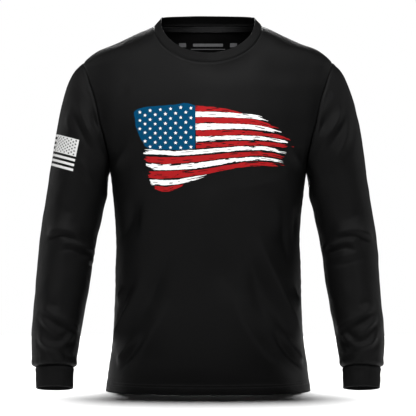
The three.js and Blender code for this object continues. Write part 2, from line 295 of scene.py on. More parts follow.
# the faces between the rows and columns of a grid's numbers
def quadsOf(index):
    corners = [index[:-1, :-1], index[:-1, 1:], index[1:, 1:], index[1:, :-1]]
    return np.stack(corners, -1).reshape(-1, 4)


def uneven(points, size, high, seed, stretch=(1, 1, 1)):
    random = np.random.default_rng(seed)
    total = np.zeros(points.shape[:-1])
    waves = 16
    for _ in range(waves):
        way = random.normal(size=3)
        way *= np.array(stretch) / np.linalg.norm(way)
        length = size * random.uniform(0.7, 1.5)
        total += np.cos(points @ way * 2 * math.pi / length + random.uniform(0, 6.283))
    return high * total / math.sqrt(waves / 2)


# small waves that fade with the distance from a seam
def puckers(points, away, size, high, seed, reach):
    return uneven(points, size, high, seed) * np.exp(-away / reach)


def treeOf(*grids):
    points, faces, start = [], [], 0
    for grid in grids:
        rows, columns = grid.shape[:2]
        index = start + np.arange(rows * columns).reshape(rows, columns)
        points += grid.reshape(-1, 3).tolist()
        faces += quadsOf(index).tolist()
        start += rows * columns
    return BVHTree.FromPolygons(points, faces)


# a smooth line through points
def curve(points, step=4):
    points = np.array(points, float)
    ends = np.vstack([2 * points[0] - points[1], points, 2 * points[-1] - points[-2]])
    made = []
    for a, b, c, d in zip(ends, ends[1:], ends[2:], ends[3:]):
        count = max(2, int(np.linalg.norm(c - b) / step) + 1)
        t = np.linspace(0, 1, count, endpoint=False)[:, None]
        bend, twist = 2 * a - 5 * b + 4 * c - d, 3 * b - a - 3 * c + d
        made.append((2 * b + (c - a) * t + bend * t**2 + twist * t**3) / 2)
    return np.vstack(made + [points[-1:]])


eyeHeight, eyeAway, eyeLens = 364, 4000, 173  # where the front is looked at from


# the points of a cloth that show at (x, z) from the front (side -1) or from behind (side 1)
def laidOn(tree, path, side=-1):
    eye = Vector((0, side * eyeAway, eyeHeight))
    places, normals = [], []
    for x, z in path:
        through = Vector((x, 0, z))
        place, normal, _, _ = tree.ray_cast(eye, (through - eye).normalized())
        if place is None:
            place, normal, _, _ = tree.find_nearest(through)
        places.append(place[:])
        normals.append(normal[:])
    return np.array(places), np.array(normals)


# how high a fold lifts each point: its height, the widths of its left and right flank (seen from
# outside along its way) and of its crest, the dips beside it, and the shares in which its ends fade
def foldHeight(points, normals, path, up, high, left, right, crest=3, dips=(0, 0), fade=(0.35, 0.35)):
    reach = 7 * max(left, right)
    height = np.zeros(len(points))
    near = ((points > path.min(0) - reach) & (points < path.max(0) + reach)).all(-1)
    if not near.any():
        return height
    p = points[near]
    legs = np.diff(path, axis=0)
    long = np.linalg.norm(legs, axis=1)
    best = np.full(len(p), np.inf)
    across, place, facing = np.zeros(len(p)), np.zeros(len(p)), np.zeros(len(p))
    start = np.concatenate([[0], np.cumsum(long)])
    for k, leg in enumerate(legs):
        away = p - path[k]
        t = np.clip(away @ leg / max(long[k] ** 2, 1e-9), 0, 1)
        rest = away - t[:, None] * leg
        distance = np.linalg.norm(rest, axis=1)
        nearer = distance < best
        best = np.where(nearer, distance, best)
        across = np.where(nearer, np.cross(leg, rest) @ up[k], across)
        place = np.where(nearer, (start[k] + t * long[k]) / start[-1], place)
        facing = np.where(nearer, normals[near] @ up[k], facing)
    onLeft = across > 0
    width = np.where(onLeft, left, right)
    dip = np.where(onLeft, dips[0], dips[1])
    shape = np.exp(-(np.sqrt(best**2 + crest**2) - crest) / width)
    lift = high * shape - dip * hump(best, 2 * width + crest, width)
    ends = ease(0, 1.5 * fade[0], place) * ease(0, 1.5 * fade[1], 1 - place)
    height[near] = lift * ends * ease(0, 0.5, facing)
    return height


# a fold's line is (x, z) as seen from the front or from behind, or goes round a sleeve
def foldsOn(points, normals, tree, folds, around=None):
    flat, flatNormals = points.reshape(-1, 3), normals.reshape(-1, 3)
    total = np.zeros(len(flat))
    for kind in folds:
        for line, *numbers in folds[kind]:
            if kind == "round":
                place = curve([(angle, cut["sleeve"] * along) for angle, along in line])
                path = around(np.radians(place[:, 0]), place[:, 1] / cut["sleeve"])
                up = np.array([tree.find_nearest(Vector(p))[1][:] for p in path])
            else:
                path, up = laidOn(tree, curve(line), 1 if kind == "behind" else -1)
            total += foldHeight(flat, flatNormals, path, up, *numbers)
    return total.reshape(points.shape[:2])


def inMetres(points):
    return (np.asarray(points, float) / 1000 + (0, bodyShift, 0)).tolist()


def meshPiece(name, points, faces, material):
    mesh = bpy.data.meshes.new(name)
    mesh.from_pydata(inMetres(points), [], faces)
    mesh.validate()
    mesh.shade_smooth()
    piece = bpy.data.objects.new(name, mesh)
    bpy.context.scene.collection.objects.link(piece)
    piece.data.materials.append(material)
    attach(piece, "root")
    return piece


# a closed sheet of cloth between an outer and an inner grid, with rounded edges
def clothPiece(name, outer, inner, material, closed=False):
    rows, columns = outer.shape[:2]
    count = rows * columns
    outerIndex = np.arange(count).reshape(rows, columns)
    grain = np.stack([run(outer, 1), run(outer, 0)], -1)
    points = [outer.reshape(-1, 3), inner.reshape(-1, 3)]
    weave = [grain.reshape(-1, 2), grain.reshape(-1, 2)]
    if closed:
        outerIndex = np.concatenate([outerIndex, outerIndex[:, :1]], 1)
        top = [(rows - 1, j, rows - 2, j) for j in range(columns)][::-1]
        loops = [[(0, j, 1, j) for j in range(columns)], top]
    else:
        loop = [(0, j, 1, j) for j in range(columns)]
        loop += [(i, columns - 1, i, columns - 2) for i in range(1, rows)]
        loop += [(rows - 1, j, rows - 2, j) for j in range(columns - 2, -1, -1)]
        loop += [(i, 0, i, 1) for i in range(rows - 2, 0, -1)]
        loops = [loop]
    quads = quadsOf(outerIndex)
    faces = [quads, quads[:, ::-1] + count]
    total = 2 * count
    for loop in loops:
        i, j, nextI, nextJ = np.array(loop).T
        edge, under = outer[i, j], inner[i, j]
        out = edge - outer[nextI, nextJ]
        through = edge - under
        half = np.linalg.norm(through, axis=1, keepdims=True) / 2
        normal = through / (2 * half)
        out -= (out * normal).sum(1, keepdims=True) * normal
        out /= np.maximum(np.linalg.norm(out, axis=1, keepdims=True), 1e-9)
        lines = [i * columns + j]
        for turn in (45, 90, 135):
            turned = math.radians(turn)
            way = normal * math.cos(turned) + out * math.sin(turned) * 0.8
            points.append((edge + under) / 2 + half * way)
            weave.append(grain[i, j])
            lines.append(total + np.arange(len(loop)))
            total += len(loop)
        lines.append(i * columns + j + count)
        for a, b in zip(lines, lines[1:]):
            faces.append(np.stack([np.roll(a, -1), a, b, np.roll(b, -1)], -1))
    piece = meshPiece(name, np.vstack(points), np.vstack(faces).tolist(), material)
    attribute = piece.data.attributes.new("grain", "FLOAT_VECTOR", "POINT")
    flat = np.zeros((total, 3))
    flat[:, :2] = np.vstack(weave)
    attribute.data.foreach_set("vector", flat.ravel())
    print(f"{name}: {total} points, {len(np.vstack(faces)) * 2} triangles")
    return piece


def newMaterial(name):
    material = bpy.data.materials.new(name)
    material.use_nodes = True
    shader = material.node_tree.nodes["Principled BSDF"]
    return material, shader, Wire(material.node_tree)


def mixed(wire, factor, first, second):
    return wire.node("ShaderNodeMix", {0: factor, 6: first, 7: second}, output=2, data_type="RGBA")


def knitCloth(name, finish):
    material, shader, wire = newMaterial(name)
    grain = wire.node("ShaderNodeAttribute", output=1, attribute_name="grain")
    parts = wire.tree.nodes.new("ShaderNodeSeparateXYZ")
    wire.tree.links.new(grain.socket, parts.inputs[0])
    across, along = Wire(wire.tree, parts.outputs[0]), Wire(wire.tree, parts.outputs[1])
    # each wale is a column of slanted loops, and each course a row of them
    wale = wire.maths("FRACT", across / finish["wale"]) - 0.5
    lean = wire.maths("ABSOLUTE", wale)
    loop = (along / finish["course"] + lean * 1.3) * (2 * math.pi)
    stitch = wire.maths("SINE", loop) * 0.35 + (1 - (lean * 2) ** 4)
    local = wire.node("ShaderNodeTexCoord", output=3)
    fuzz = wire.node("ShaderNodeTexNoise", {"Vector": local, "Scale": 900.0, "Detail": 3.0})
    patches = {"Vector": local, "Scale": 26.0, "Detail": 4.0, "Roughness": 0.65}
    patchy = wire.node("ShaderNodeTexNoise", patches)
    worn = wire.node("ShaderNodeMapRange", {0: patchy, 1: 0.3, 2: 0.7, 3: 0.0, 4: 1.0})
    colour = mixed(wire, worn, finish["dark"] + (1,), finish["light"] + (1,))
    # the fuzz lightens the cloth at random; the stitch term paints highlight on each loop's crest and shade
    # in the grooves between the wales
    colour = mixed(wire, fuzz * 0.35 + stitch * 0.12, colour, finish["fuzzAndLoopHighlight"] + (1,))
    height = stitch * finish["depth"] + fuzz * finish["fuzz"]
    bump = wire.node("ShaderNodeBump", {"Strength": finish["bump"], "Distance": 0.001, "Height": height})
    tone = patchy * 0.1 + (finish["rough"] - 0.05)
    wire.into(shader, {"Base Color": colour, "Normal": bump, "Roughness": tone})
    shader.inputs["Specular IOR Level"].default_value = finish["gloss"]
    shader.inputs["Sheen Weight"].default_value = finish["sheen"]
    shader.inputs["Sheen Roughness"].default_value = 0.45
    return material


blackKnit = {
    "dark": (0.0014, 0.0014, 0.00145),
    "light": (0.0020, 0.0020, 0.00205),
    "fuzzAndLoopHighlight": (0.0052, 0.0052, 0.0053),
    "wale": 1.05,
    "course": 0.85,
    "depth": 0.16,
    "fuzz": 0.22,
    "bump": 0.7,
    "rough": 0.52,
    "gloss": 0.09,
    "sheen": 0.0,
}
jersey = knitCloth("black_jersey", blackKnit)
ribCloth = knitCloth("black_rib", blackKnit | {"wale": 1.2, "course": 0.9, "depth": 0.2})
tapeCloth = knitCloth("neck_tape_twill", {
    "dark": (0.0105, 0.0105, 0.011),
    "light": (0.0135, 0.0135, 0.014),
    "fuzzAndLoopHighlight": (0.022, 0.022, 0.023),
    "wale": 0.9,
    "course": 0.9,
    "depth": 0.3,
    "fuzz": 0.1,
    "bump": 0.5,
    "rough": 0.85,
    "gloss": 0.3,
    "sheen": 0.05,
})


def plainFinish(name, colour, second, rough, gloss, scale=180.0, bump=0.25):
    material, shader, wire = newMaterial(name)
    local = wire.node("ShaderNodeTexCoord", output=3)
    grain = {"Vector": local, "Scale": scale, "Detail": 5.0, "Roughness": 0.7}
    grains = wire.node("ShaderNodeTexNoise", grain)
    patchy = wire.node("ShaderNodeMapRange", {0: grains, 1: 0.35, 2: 0.75, 3: 0.0, 4: 1.0})
    tint = mixed(wire, patchy, colour + (1,), second + (1,))
    normal = wire.node("ShaderNodeBump", {"Strength": bump, "Distance": 0.0005, "Height": grains})
    tone = grains * 0.15 + (rough - 0.07)
    wire.into(shader, {"Base Color": tint, "Normal": normal, "Roughness": tone})
    shader.inputs["Specular IOR Level"].default_value = gloss
    return material


threadFinish = plainFinish("black_thread", (0.016, 0.016, 0.0165), (0.024, 0.024, 0.025), 0.6, 0.35, 900.0)
whiteInk = plainFinish("white_ink", (0.86, 0.86, 0.85), (0.80, 0.80, 0.80), 0.75, 0.06)
sleeveInk = plainFinish("sleeve_ink", (0.66, 0.66, 0.65), (0.60, 0.60, 0.60), 0.75, 0.06)
redInk = plainFinish("red_ink", (0.34, 0.010, 0.012), (0.29, 0.008, 0.010), 0.75, 0.06)
blueInk = plainFinish("blue_ink", (0.0010, 0.050, 0.118), (0.0009, 0.042, 0.1), 0.8, 0.02)
markInk = plainFinish("pale_mark_ink", (0.16, 0.16, 0.165), (0.11, 0.11, 0.115), 0.7, 0.2)
print("finishes ready")

# each fold: its line, height, left and right flank, and crest, dips and fade where they differ
panelFolds = {
    "seen": [
        # the long fold that swings out to the hem's side, on the wearer's left, and those round it
        ([(97, 352), (101, 310), (112, 270), (134, 220), (151, 180), (174, 130), (190, 92)],
         5.6, 21, 13, 3, (0, 1.8), (0.3, 0.2)),
        ([(84, 285), (95, 215), (110, 160), (126, 110)], -4.4, 20, 14, 11),
        ([(167, 210), (174, 187), (183, 155)], 2.6, 5, 7, 3, (1, 0)),
        ([(24, 238), (67, 139), (104, 79), (144, 42), (186, 26)], 4.5, 14, 20, 8, (0, 0), (0.4, 0.2)),
        ([(138, 138), (150, 112), (168, 82), (192, 56)], 3.6, 9, 6, 3, (0, 2.4), (0.4, 0.15)),
        ([(172, 380), (178, 330), (170, 280)], -2.4, 10, 10, 6),
        ([(-3, 420), (-2, 330), (-4, 240)], 2.4, 26, 26, 12),
        # the wearer's right, and the hollows down both sides
        ([(-132, 236), (-140, 210), (-152, 180), (-169, 137), (-190, 84)],
         5.2, 12, 8, 2.5, (0, 2.2), (0.45, 0.2)),
        ([(-62, 300), (-96, 240), (-122, 170), (-150, 112)], -4, 15, 17, 9),
        ([(-130, 405), (-142, 350), (-150, 290)], -3.6, 15, 16, 8),
        ([(140, 400), (150, 340), (158, 280), (166, 220)], -3.6, 16, 14, 7),
        ([(20, 300), (30, 230), (52, 165)], -2.6, 24, 24, 12),
        ([(-120, 128), (-138, 108), (-158, 85), (-184, 50)], 3.4, 6, 9, 3, (1.6, 0), (0.4, 0.15)),
        ([(-171, 212), (-176, 190), (-181, 168)], 2.2, 5, 6),
        ([(-64, 190), (-100, 132), (-124, 90), (-150, 28)], 4.4, 19, 16, 8),
        ([(-136, 410), (-134, 350), (-140, 285)], 2.6, 14, 14, 7),
        ([(-146, 395), (-160, 335), (-178, 285)], -2.6, 10, 10, 6),
        ([(136, 405), (140, 350), (150, 300)], 2.2, 14, 14, 7),
        # chest and shoulders
        ([(-170, 648), (-158, 628), (-140, 612)], -0.6, 13, 13, 6),
        ([(-180, 608), (-168, 596), (-152, 588)], -0.5, 11, 11, 6),
        ([(166, 650), (150, 628), (136, 606)], -0.5, 13, 13, 6),
        ([(-214, 556), (-210, 520), (-206, 480), (-196, 440)], 2.4, 6, 8, 3, (0, 1)),
        ([(214, 556), (210, 520), (206, 480), (196, 440)], 2.2, 8, 6, 3, (1, 0)),
        ([(-192, 436), (-170, 470), (-150, 505)], 2.2, 9, 9, 4),
        ([(192, 436), (172, 468), (154, 500)], 2, 9, 9, 4),
    ],
    "behind": [
        ([(120, 470), (138, 380), (150, 290), (170, 200), (192, 110)], 5.5, 16, 7, 3, (0, 2.4)),
        ([(-118, 462), (-134, 370), (-150, 280), (-172, 190), (-190, 120)], 5, 7, 16, 3, (2.2, 0)),
        ([(70, 440), (92, 330), (112, 220), (146, 110)], -5, 15, 15, 9),
        ([(-66, 440), (-90, 320), (-116, 210), (-150, 100)], -5, 15, 15, 9),
        ([(4, 470), (-4, 330), (2, 150)], 4, 26, 26, 12),
        ([(30, 240), (66, 130), (120, 55), (176, 24)], 4, 14, 12, 6),
        ([(-34, 230), (-72, 130), (-122, 60), (-172, 30)], 4, 12, 14, 6),
        ([(-150, 640), (-60, 628), (50, 632), (150, 642)], -1.8, 14, 14, 6),
        ([(190, 440), (160, 500), (120, 545)], 2.6, 9, 9, 4),
        ([(-190, 440), (-160, 498), (-122, 540)], 2.6, 9, 9, 4),
        ([(206, 560), (204, 510), (196, 455)], 2, 7, 7),
        ([(-206, 560), (-204, 510), (-196, 455)], 2, 7, 7),
    ],
}
panelCut = {
    "halfWidth": 262,
    "height": 705,
    "foldScale": 2.7,
    "calm": (20, 16, 50),  # folds die out this near the armhole and the top, and this far below the armpit
    "uneven": ((150, 0.9, 3, (1, 1, 0.5)), (46, 0.22, 5, (1, 1, 0.6))),  # size, height, seed, stretch
    "sidePuckers": (15, 0.28, 8, 11),  # size, height, seed, reach
    "topPuckers": (13, 0.22, 9, 9),
    "hemUneven": (11, 0.12, 12, (1, 1, 0.7)),
    "hemPuff": (0.3, 8, 6),  # height, middle, width
    "hemLift": 0.45,
    "lowest": 0.45,  # where the hem's two faces end, with its rounded edge below them
    "edge": (0, 0.6, 1.3, 2.2, 3.3, 4.6, 6.2, 8.2, 10.6),
    "hem": (0, 0.5, 1.2, 2.4, 4.2, 6.5, 9, 11.5, 13.4, 14.4, 15.2, 16, 17.2, 18.6, 19.5, 20.3, 21.2,
            22.3, 23.8, 26),
    "frontStep": (3.4, 2.9),
    "backStep": (4.0, 3.4),
    "stitchLines": (15, 20),  # heights of the hem's two rows of stitches
    "stitchGroove": (0.3, 0.9),  # depth and width
    "neckStitch": 4.2,  # how far below the neck seam its stitches run
    "neckGroove": (0.22, 0.9),
}


# the valley that a seam makes, with the turned-in cloth beside it
def seamShape(distance, deep=1.2, puff=0.35):
    return -deep * np.exp(-((distance / 1.5) ** 1.4)) + puff * hump(distance, 5, 2.4)


torsoTree = treeOf(
    panelGrid(1, np.linspace(-1, 1, 61), np.linspace(0, 1, 90)),
    panelGrid(-1, np.linspace(1, -1, 61), np.linspace(0, 1, 90)),
)


def bodyPanel(name, facing):
    acrossStep, upStep = panelCut["frontStep" if facing > 0 else "backStep"]
    half = stops(panelCut["halfWidth"], acrossStep, last=panelCut["edge"])
    across = np.concatenate([-half[:0:-1], half]) * facing
    up = stops(panelCut["height"], upStep, first=panelCut["hem"], last=panelCut["edge"])
    base = panelGrid(facing, across, up)
    normals = gridNormals(base)
    z = base[..., 2]
    fromLeft = run(base, 1)
    toSide = np.minimum(fromLeft, fromLeft[:, -1:] - fromLeft)
    upward = run(base, 0)
    toTop = upward[-1:] - upward
    lift = panelCut["foldScale"] * foldsOn(base, normals, torsoTree, panelFolds)
    lift += sum(uneven(base, *numbers) for numbers in panelCut["uneven"])
    lift += puckers(base, toSide, *panelCut["sidePuckers"]) + puckers(base, toTop, *panelCut["topPuckers"])
    # folds die out at the armholes, the neck and the shoulders, where the other pieces join
    calmSide, calmTop, calmBelow = panelCut["calm"]
    atArmhole = ease(cut["armpit"] - calmBelow, cut["armpit"], z)
    lift *= 1 - (1 - ease(0, calmSide, toSide)) * atArmhole
    lift *= ease(0, calmTop, toTop)
    lift += seamShape(np.minimum(toSide, toTop))
    deep, wide = panelCut["neckGroove"]
    atNeck = np.abs(base[..., 0]) < cut["neckSide"][0] + 5
    lift -= deep * hump(toTop, panelCut["neckStitch"], wide) * atNeck
    inHem = 1 - ease(cut["hemHeight"] - 0.6, cut["hemHeight"] + 0.6, z)
    high, middle, wide = panelCut["hemPuff"]
    hemUneven = uneven(base, *panelCut["hemUneven"])
    lift += panelCut["hemLift"] * inHem + high * hump(z, middle, wide) + hemUneven * inHem
    deep, wide = panelCut["stitchGroove"]
    for line in panelCut["stitchLines"]:
        lift -= deep * hump(z, line, wide)
    outer = base + normals * lift[..., None]
    outer[..., 2] = np.maximum(outer[..., 2], panelCut["lowest"])
    outer[0, :, 2] = panelCut["lowest"]
    shown = gridNormals(outer)
    # the two panels share one direction through the cloth along the seams, and the hem's is level
    shown[:, [0, -1]] = 0.5 * (shown[:, [0, -1]] + normals[:, [0, -1]])
    shown[-1] = normals[-1]
    shown[:2, :, 2] = 0
    size, least = np.linalg.norm(shown, axis=-1, keepdims=True), 0.001
    shown = np.where(size > least, shown / np.maximum(size, least), normals)
    thickness = cut["jersey"] + (cut["hem"] - cut["jersey"]) * inHem
    inner = outer - shown * thickness[..., None]
    piece = clothPiece(name, outer, inner, jersey)
    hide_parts(name.replace("cloth_", "") + "_panel")
    return piece, {"outer": outer, "inner": inner, "base": base, "normals": shown, "toTop": toTop}


front, frontGrid = bodyPanel("cloth_front", 1)
back, backGrid = bodyPanel("cloth_back", -1)
print("body panels ready")

sleeveFolds = {
    "right": [
        ([(-262, 590), (-256, 560), (-243, 527), (-224, 493), (-210, 467), (-201, 443)],
         4.6, 8, 6, 2.5, (1.2, 1.5)),
        ([(-250, 570), (-240, 540), (-224, 514), (-207, 490)], 2.4, 4, 4, 2),
        ([(-234, 562), (-226, 543), (-216, 518)], -3.4, 6, 7, 4),
        ([(-277, 568), (-280, 537), (-274, 506)], 2.6, 7, 7, 3),
        ([(-256, 470), (-242, 436), (-228, 405)], 3.2, 8, 6, 3, (0, 1.2)),
        ([(-291, 369), (-280, 357), (-267, 346)], -1.8, 8, 8, 4),
        ([(-326, 309), (-300, 320), (-276, 317), (-247, 300)], 5.6, 13, 4, 2, (0, 2.4), (0.18, 0.25)),
        ([(-310, 279), (-286, 293), (-262, 289), (-231, 277)], 4.8, 9, 4, 2, (0, 2), (0.25, 0.2)),
        ([(-244, 303), (-239, 290), (-226, 270)], 2, 4, 4, 2),
        ([(-262, 262), (-244, 262), (-228, 258)], 2.2, 8, 4, 3, (0, 1)),
        ([(-336, 168), (-312, 150), (-289, 139), (-268, 128), (-256, 115)],
         4.4, 9, 5, 2, (0, 1.8), (0.2, 0.2)),
        ([(-322, 178), (-308, 168), (-294, 162)], -2.2, 6, 6, 3),
        ([(-338, 152), (-316, 125), (-292, 105), (-276, 96)], 4.2, 6, 4.5, 2, (1.4, 1.4), (0.2, 0.3)),
        ([(-341, 118), (-327, 92), (-306, 85), (-286, 94), (-264, 115)],
         3.8, 5, 5, 2, (1.6, 1), (0.2, 0.2)),
        ([(-314, 86), (-299, 73), (-284, 62)], 2.6, 5, 4, 3, (0, 1)),
        ([(-292, 86), (-280, 78), (-266, 69)], 2.2, 5, 4, 3, (0, 1)),
    ],
    "left": [
        ([(264, 592), (264, 553), (252, 527), (232, 498), (211, 458)], 4.6, 6, 8, 2.5, (1.5, 1.2)),
        ([(228, 570), (222, 530), (212, 495), (204, 468)], 2.6, 4, 4, 2),
        ([(240, 560), (232, 532), (222, 508)], -3, 6, 6, 4),
        ([(281, 566), (281, 527), (272, 493), (258, 460), (246, 424)], 3.6, 7, 8, 3, (1, 0)),
        ([(253, 452), (239, 422), (228, 396)], -2.2, 6, 6, 3),
        ([(262, 330), (292, 347), (322, 362)], -1.8, 9, 9, 5),
        ([(244, 301), (270, 316), (294, 319), (318, 311), (332, 298)],
         5.6, 13, 4, 2, (0, 2.4), (0.25, 0.18)),
        ([(234, 281), (254, 290), (277, 296), (296, 290), (314, 278)], 4.8, 9, 4, 2, (0, 2), (0.2, 0.25)),
        ([(227, 276), (233, 288), (243, 303)], 2, 4, 4, 2),
        ([(234, 262), (271, 266), (320, 281)], 2.4, 9, 5, 3, (0, 1.2)),
        ([(256, 113), (268, 126), (290, 140), (312, 152), (337, 172)], 4.4, 9, 5, 2, (0, 1.8), (0.2, 0.2)),
        ([(296, 166), (310, 172), (326, 182)], -2.2, 6, 6, 3),
        ([(276, 94), (292, 103), (318, 124), (339, 149)], 4.2, 6, 4.5, 2, (1.4, 1.4), (0.3, 0.2)),
        ([(262, 118), (284, 96), (305, 86), (326, 94), (341, 121)], 3.8, 5, 5, 2, (1.6, 1), (0.2, 0.2)),
        ([(284, 60), (300, 72), (316, 84)], 2.6, 5, 4, 3, (0, 1)),
        ([(266, 71), (280, 79), (293, 88)], 2.2, 5, 4, 3, (0, 1)),
    ],
    "round": [  # on both sleeves, as degrees round from the outer edge and the place along
        ([(-20, 0.63), (-70, 0.6), (-120, 0.585)], 3.2, 9, 9, 3),
        ([(-30, 0.7), (-80, 0.665), (-140, 0.65)], 2.8, 8, 8, 3),
        ([(12, 0.8), (-40, 0.845), (-100, 0.87), (-150, 0.85)], 3.8, 7, 7),
        ([(-160, 0.8), (-110, 0.84), (-60, 0.9), (-10, 0.92)], 3.4, 7, 7),
        ([(16, 0.9), (-30, 0.93), (-90, 0.95), (-140, 0.93)], 3, 6, 6),
        ([(-50, 0.05), (-80, 0.13), (-125, 0.24), (-150, 0.3)], 4, 9, 9),
        ([(-72, 0.05), (-105, 0.11), (-145, 0.17)], -3.6, 8, 8, 4),
        ([(-28, 0.12), (-60, 0.2), (-90, 0.32)], 2.4, 9, 9, 4),
        ([(20, 0.34), (-30, 0.38), (-70, 0.46)], 1.6, 12, 12, 6),
        ([(5, 0.07), (-2, 0.2), (4, 0.36)], 1.6, 10, 10, 6),
        ([(150, 0.1), (175, 0.2), (178, 0.32)], 2.4, 9, 9, 4),
    ],
}
sleeveCut = {
    "foldScale": 1.5,
    "edge": (0, 0.6, 1.3, 2.2, 3.3, 4.6, 6.2, 8.4),
    "girth": 390,
    "step": (3.6, 3.0),
    "calm": 15,  # folds die out this near the armhole
    "uneven": ((110, 0.8, 21, (1, 1, 0.6)), (38, 0.25, 23, (1, 1, 1))),
    "topPuckers": (13, 0.4, 25, 12),
    "gathers": 17,
    "gatherHeights": (0.55, 0.3),
    "gatherReach": 13,
    "puff": (2.2, 8, 7),  # height, distance above the cuff, width
    "stitchLine": 5,  # how far above the cuff its stitches run
    "stitchGroove": (0.2, 0.8),
}


def sleevePiece(side, mirror):
    angles = stops(sleeveCut["girth"], sleeveCut["step"][0], first=sleeveCut["edge"], last=sleeveCut["edge"])
    angles = (angles * 2 * math.pi - math.pi)[:: int(mirror)]
    along = stops(cut["sleeve"], sleeveCut["step"][1], first=sleeveCut["edge"], last=sleeveCut["edge"])
    grid = np.meshgrid(angles, along)
    base = sleevePoint(grid[0], grid[1], mirror)
    normals = gridNormals(base)
    downward = run(base, 0)
    toCuff = downward[-1:] - downward
    around = run(base, 1)
    toSeam = np.minimum(around, around[:, -1:] - around)
    tree = treeOf(base)
    folds = {"seen": sleeveFolds[side], "round": sleeveFolds["round"]}
    lift = foldsOn(base, normals, tree, folds, lambda angle, along: sleevePoint(angle, along, mirror))
    lift *= sleeveCut["foldScale"]
    lift += sum(uneven(base, size, high, seed + mirror, way) for size, high, seed, way in sleeveCut["uneven"])
    size, high, seed, reach = sleeveCut["topPuckers"]
    lift += puckers(base, downward, size, high, seed + mirror, reach)
    # gathers where the full sleeve is drawn into its cuff
    turn = grid[0] * sleeveCut["gathers"] + 1.3 * np.sin(3 * grid[0] + mirror)
    large, small = sleeveCut["gatherHeights"]
    gathers = large * np.cos(turn) + small * np.cos(1.7 * turn + 1)
    lift += gathers * np.exp(-toCuff / sleeveCut["gatherReach"]) * ease(0, 2.5, toCuff)
    high, middle, wide = sleeveCut["puff"]
    lift += high * hump(toCuff, middle, wide)
    lift *= ease(0, sleeveCut["calm"], downward) * ease(-1, 7, toCuff)
    lift += seamShape(downward) + seamShape(toCuff, 1.0, 0.2) + seamShape(toSeam, 0.9, 0.25)
    deep, wide = sleeveCut["stitchGroove"]
    lift -= deep * hump(toCuff, sleeveCut["stitchLine"], wide)
    outer = base + normals * lift[..., None]
    shown = gridNormals(outer)
    shown[[0, -1]] = normals[[0, -1]]
    inner = outer - shown * cut["jersey"]
    piece = clothPiece(f"cloth_sleeve_{side}", outer, inner, jersey)
    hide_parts(f"sleeve_{side}")
    return {"outer": outer, "normals": shown, "toCuff": toCuff, "tree": treeOf(outer)}


leftGrid = sleevePiece("left", 1)
rightGrid = sleevePiece("right", -1)
print("sleeves ready")

# cuffs and neckband are rib, folded double
cuffCut = {
    "top": (341, 264, 34, 58, 49.6),  # outer and inner edge, half depth, forward, height
    "end": (339, 266, 31, 66, 10),
    "ribs": 96,
    "perRib": 6,
    "ribHeight": 0.2,
    "seam": (1.1, 0.5),  # the seam's depth, and the puff beside it
    "waist": (0.5, 14, 9),  # depth, middle, width
    "uneven": (34, 0.5, 31),
    "rows": (0, 0.02, 0.045, 0.08, 0.13, 0.2, 0.3, 0.42, 0.55, 0.68, 0.8, 0.89, 0.95, 0.985, 1),
}
for side, mirror in (("left", 1), ("right", -1)):
    count = cuffCut["ribs"] * cuffCut["perRib"]
    angle = np.linspace(0, 2 * math.pi, count, endpoint=False)[:: mirror]
    down = np.array(cuffCut["rows"])[:, None]
    outerX, innerX, depth, forward, height = [
        a + (b - a) * down for a, b in zip(cuffCut["top"], cuffCut["end"])
    ]
    turned = angle[None]
    x = (outerX + innerX) / 2 + (outerX - innerX) / 2 * np.cos(turned)
    z = height + cut["cuffTilt"] * depth * np.sin(turned)
    base = np.stack([mirror * x, -forward - depth * np.sin(turned), z], -1)
    normals = gridNormals(base, closed=True)
    reach = run(base, 0)
    lift = cuffCut["ribHeight"] * np.cos(turned * cuffCut["ribs"]) * ease(0, 2.5, reach)
    deep, middle, wide = cuffCut["waist"]
    size, high, seed = cuffCut["uneven"]
    lift = lift + seamShape(reach, *cuffCut["seam"]) - deep * hump(reach, middle, wide)
    lift = lift + uneven(base, size, high, seed + mirror)
    outer = base + normals * lift[..., None]
    inner = outer - normals * cut["rib"]
    piece = clothPiece(f"rib_cuff_{side}", outer, inner, ribCloth, closed=True)
    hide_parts(f"cuff_{side}")

neckCut = {
    "ribs": 230,
    "perRib": 6,
    "ribHeight": 0.17,
    "width": 20,
    "seam": (1.0, 0.4),
    "crown": (0.4, 11, 7),  # height, middle, width
    "uneven": (60, 0.35, 41),
    "tilt": (42, 24, 28),  # degrees that the band leans in at the sides, the front and the back
    "rows": (0, 0.03, 0.07, 0.13, 0.22, 0.34, 0.48, 0.62, 0.76, 0.88, 0.95, 1),
}
fine = np.linspace(0, 2 * math.pi, 1441)
seamLine = neckSeam(np.where(fine > math.pi, 2 * math.pi - fine, fine))
seamLine[:, 0] *= np.where(fine > math.pi, -1, 1)
walked = run(seamLine, 0)
count = neckCut["ribs"] * neckCut["perRib"]
even = np.linspace(0, walked[-1], count, endpoint=False)
seam = pick(seamLine, walked, even)
turned = np.interp(even, walked, fine)
toFront = np.cos(turned)
sideTilt, frontTilt, backTilt = [math.radians(t) for t in neckCut["tilt"]]
tilt = sideTilt + (np.where(toFront > 0, frontTilt, backTilt) - sideTilt) * np.abs(toFront)
lean = -seam * (1, 1, 0)
lean /= np.linalg.norm(lean, axis=1, keepdims=True)
rise = np.array(neckCut["rows"])[:, None] * neckCut["width"]
base = seam[None] + lean[None] * (np.sin(tilt)[None] * rise)[..., None]
base[..., 2] += np.cos(tilt)[None] * rise + 0.2
normals = gridNormals(base, closed=True)
ribWave = np.cos(2 * math.pi * neckCut["ribs"] * even / walked[-1])
lift = neckCut["ribHeight"] * ribWave[None] * ease(0, 2, rise)
high, middle, wide = neckCut["crown"]
lift = lift + seamShape(rise, *neckCut["seam"]) + high * hump(rise, middle, wide)
lift = lift + uneven(base, *neckCut["uneven"])
outer = base + normals * lift[..., None]
inner = outer - normals * cut["rib"]
neckband = clothPiece("rib_neckband", outer, inner, ribCloth, closed=True)
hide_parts("neckband")
print("ribs ready")

